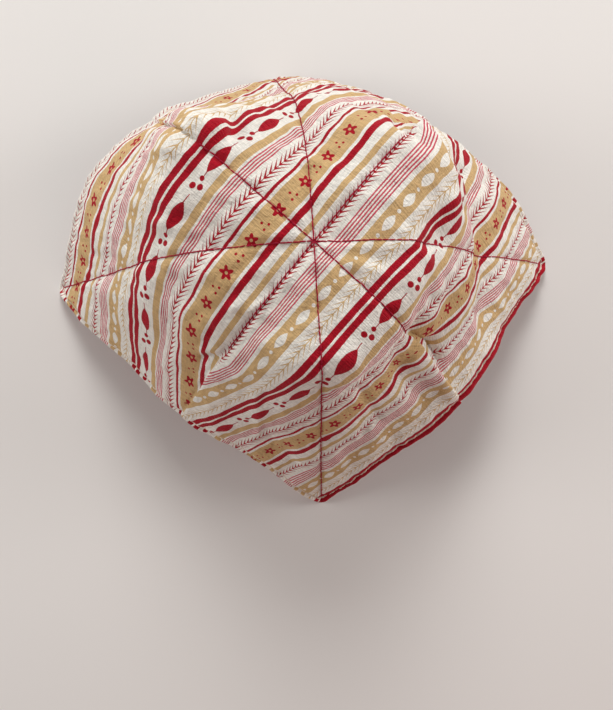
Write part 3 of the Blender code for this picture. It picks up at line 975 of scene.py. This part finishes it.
# What each quilted row runs to, where it ends and what it adds to the seed
QUILT_ROWS = (("corner", 166.5, 6), ("dart", 60.0, 4))
ROW_START = 0.1
ROW_SAMPLES = 500
SEEDS_PER_QUARTER = 10
# Two corners' rows are sewn back over themselves: where that begins and ends, its lift and its seed
BACKSTITCHED_QUARTERS = (1, 3)
BACKSTITCH_START = 1.8
BACKSTITCH_END = 9.0
BACKSTITCH_LIFT = 0.18
BACKSTITCH_SEED = 5


def quilting_rows(face, outwards, seed):
    """The eight quilted rows on one face, and the two short stretches sewn back over them by the centre."""
    rows = []
    for quarter in range(4):
        fine = np.linspace(0.0, 1.0, ROW_SAMPLES)
        ways = {"corner": (fine, fine), "dart": (fine, 0.0 * fine)}
        for kind, end, own_seed in QUILT_ROWS:
            line, out = on_face(face, quarter, *ways[kind])
            out = out * outwards
            row_seed = seed + SEEDS_PER_QUARTER * quarter + own_seed
            rows.append(stitch_row(line, out, ROW_START, end, row_seed))
            if kind == "corner" and quarter in BACKSTITCHED_QUARTERS:
                raised = line + out * BACKSTITCH_LIFT
                back_seed = row_seed + BACKSTITCH_SEED
                rows.append(stitch_row(raised, out, BACKSTITCH_START, BACKSTITCH_END, back_seed))
    return rows


QUILT_THREAD = (0.26, 0.002, 0.018, 1.0)
QUILT_THREAD_LIGHT = (0.42, 0.008, 0.04, 1.0)
quilt_thread_material = thread_material("quilting thread", QUILT_THREAD, QUILT_THREAD_LIGHT)
for name, face, outwards, seed in (
    ("quilting_thread_outside", outer_face, 1.0, 100), ("quilting_thread_inside", lining_face, -1.0, 300)
):
    quilting = sewn(name, quilting_rows(face, outwards, seed))
    quilting.data.materials.append(quilt_thread_material)
    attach(quilting, "root")

# Top stitching
# One row of stitches all round, 4 mm in from the rim, holds the turned-in edges together. The outside has
# cream thread and the lining side crimson.
CREAM_THREAD = (0.72, 0.62, 0.50, 1.0)
CREAM_THREAD_LIGHT = (0.85, 0.78, 0.68, 1.0)
RED_THREAD = (0.33, 0.004, 0.02, 1.0)
RED_THREAD_LIGHT = (0.50, 0.02, 0.05, 1.0)
RIM_SAMPLES = 400


def rim_rows(face, outwards, seed):
    """The rows along the rim of each quarter: out along one side to the corner and back along the other."""
    rows = []
    inset = 1.0 - TOP_STITCH_FROM_RIM / HALF_SIDE
    fine = np.linspace(0.0, inset, RIM_SAMPLES)
    for quarter in range(4):
        first = np.concatenate([np.full(RIM_SAMPLES, inset), fine[::-1][1:]])
        second = np.concatenate([fine, np.full(RIM_SAMPLES - 1, inset)])
        line, out = on_face(face, quarter, first, second)
        rows.append(stitch_row(line, out * outwards, 0.0, np.inf, seed + quarter))
    return rows


for name, face, outwards, seed, slot, colours in (
    ("top_stitching_outside", outer_face, 1.0, 500, "cream_thread", (CREAM_THREAD, CREAM_THREAD_LIGHT)),
    ("top_stitching_inside", lining_face, -1.0, 600, "crimson_thread", (RED_THREAD, RED_THREAD_LIGHT)),
):
    stitching = sewn(name, rim_rows(face, outwards, seed))
    stitching.data.materials.append(thread_material(name.replace("_", " "), *colours))
    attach(stitching, "root")

# Floor, light and camera
# A plain pale floor and soft studio lights: one behind, one on each side, a weak warm one in front and the
# pale surroundings. The camera looks down from where the photo was taken.
# The floor's side and the places and sizes of the lights are in metres
FLOOR_SIZE = 6.0
FLOOR_COLOUR = (0.72, 0.70, 0.68, 1.0)
floor_mesh = bpy.data.meshes.new("floor")
floor_signs = [(-1, -1), (1, -1), (1, 1), (-1, 1)]
floor_corners = [(x * FLOOR_SIZE / 2.0, y * FLOOR_SIZE / 2.0, 0.0) for x, y in floor_signs]
floor_mesh.from_pydata(floor_corners, [], [(0, 1, 2, 3)])
floor = bpy.data.objects.new("floor", floor_mesh)
bpy.context.scene.collection.objects.link(floor)
floor_paint = bpy.data.materials.new("pale floor")
floor_paint.use_nodes = True
floor_shader = floor_paint.node_tree.nodes["Principled BSDF"]
floor_shader.inputs["Base Color"].default_value = FLOOR_COLOUR
floor_shader.inputs["Roughness"].default_value = 0.8
floor_mesh.materials.append(floor_paint)

# name, place, size, watts, colour
LIGHTS = (
    ("softbox behind", (0.0, 1.0, 0.72), 0.5, 11.4, (1.0, 0.99, 0.97)),
    ("softbox on the left", (-0.95, 0.12, 0.42), 0.45, 4.5, (1.0, 0.97, 0.95)),
    ("softbox on the right", (0.95, 0.12, 0.42), 0.45, 4.8, (1.0, 0.97, 0.95)),
    ("warm fill from the front", (0.3, -0.8, 0.35), 0.6, 1.2, (1.0, 0.55, 0.47)),
)
LIT_POINT = Vector((0.0, 0.0, 0.05))
for name, spot, size, watts, tint in LIGHTS:
    lamp = bpy.data.lights.new(name, "AREA")
    lamp.size = size
    lamp.energy = watts
    lamp.color = tint
    light = bpy.data.objects.new(name, lamp)
    light.location = spot
    light.rotation_euler = (LIT_POINT - Vector(spot)).to_track_quat("-Z", "Y").to_euler()
    bpy.context.scene.collection.objects.link(light)

SURROUNDINGS_COLOUR = (1.0, 0.95, 0.92, 1.0)
SURROUNDINGS_STRENGTH = 0.20
surroundings = bpy.data.worlds.new("pale surroundings")
surroundings.use_nodes = True
background = surroundings.node_tree.nodes["Background"]
background.inputs["Color"].default_value = SURROUNDINGS_COLOUR
background.inputs["Strength"].default_value = SURROUNDINGS_STRENGTH
bpy.context.scene.world = surroundings
bpy.context.scene.view_settings.view_transform = "Standard"

# The camera's place in millimetres, the way it looks and what is up in its picture
CAMERA_PLACE = (-17.2, -41.9, 383.9)
CAMERA_VIEW = (0.0395, 0.0232, -0.9989)
CAMERA_UP = (0.0620, 0.9977, 0.0256)
FOCAL_PIXELS = 753.3
PHOTO_HEIGHT = 710.0
camera_data = bpy.data.cameras.new("camera")
camera_data.sensor_fit = "VERTICAL"
camera_data.lens = camera_data.sensor_height * FOCAL_PIXELS / PHOTO_HEIGHT
camera = bpy.data.objects.new("camera", camera_data)
back = -Vector(CAMERA_VIEW).normalized()
right = Vector(CAMERA_UP).cross(back).normalized()
turned = Matrix((right, back.cross(right), back)).transposed()
camera.matrix_world = Matrix.Translation(Vector(CAMERA_PLACE) * MM) @ turned.to_4x4()
bpy.context.scene.collection.objects.link(camera)
bpy.context.scene.camera = camera

bpy.context.view_layer.update()
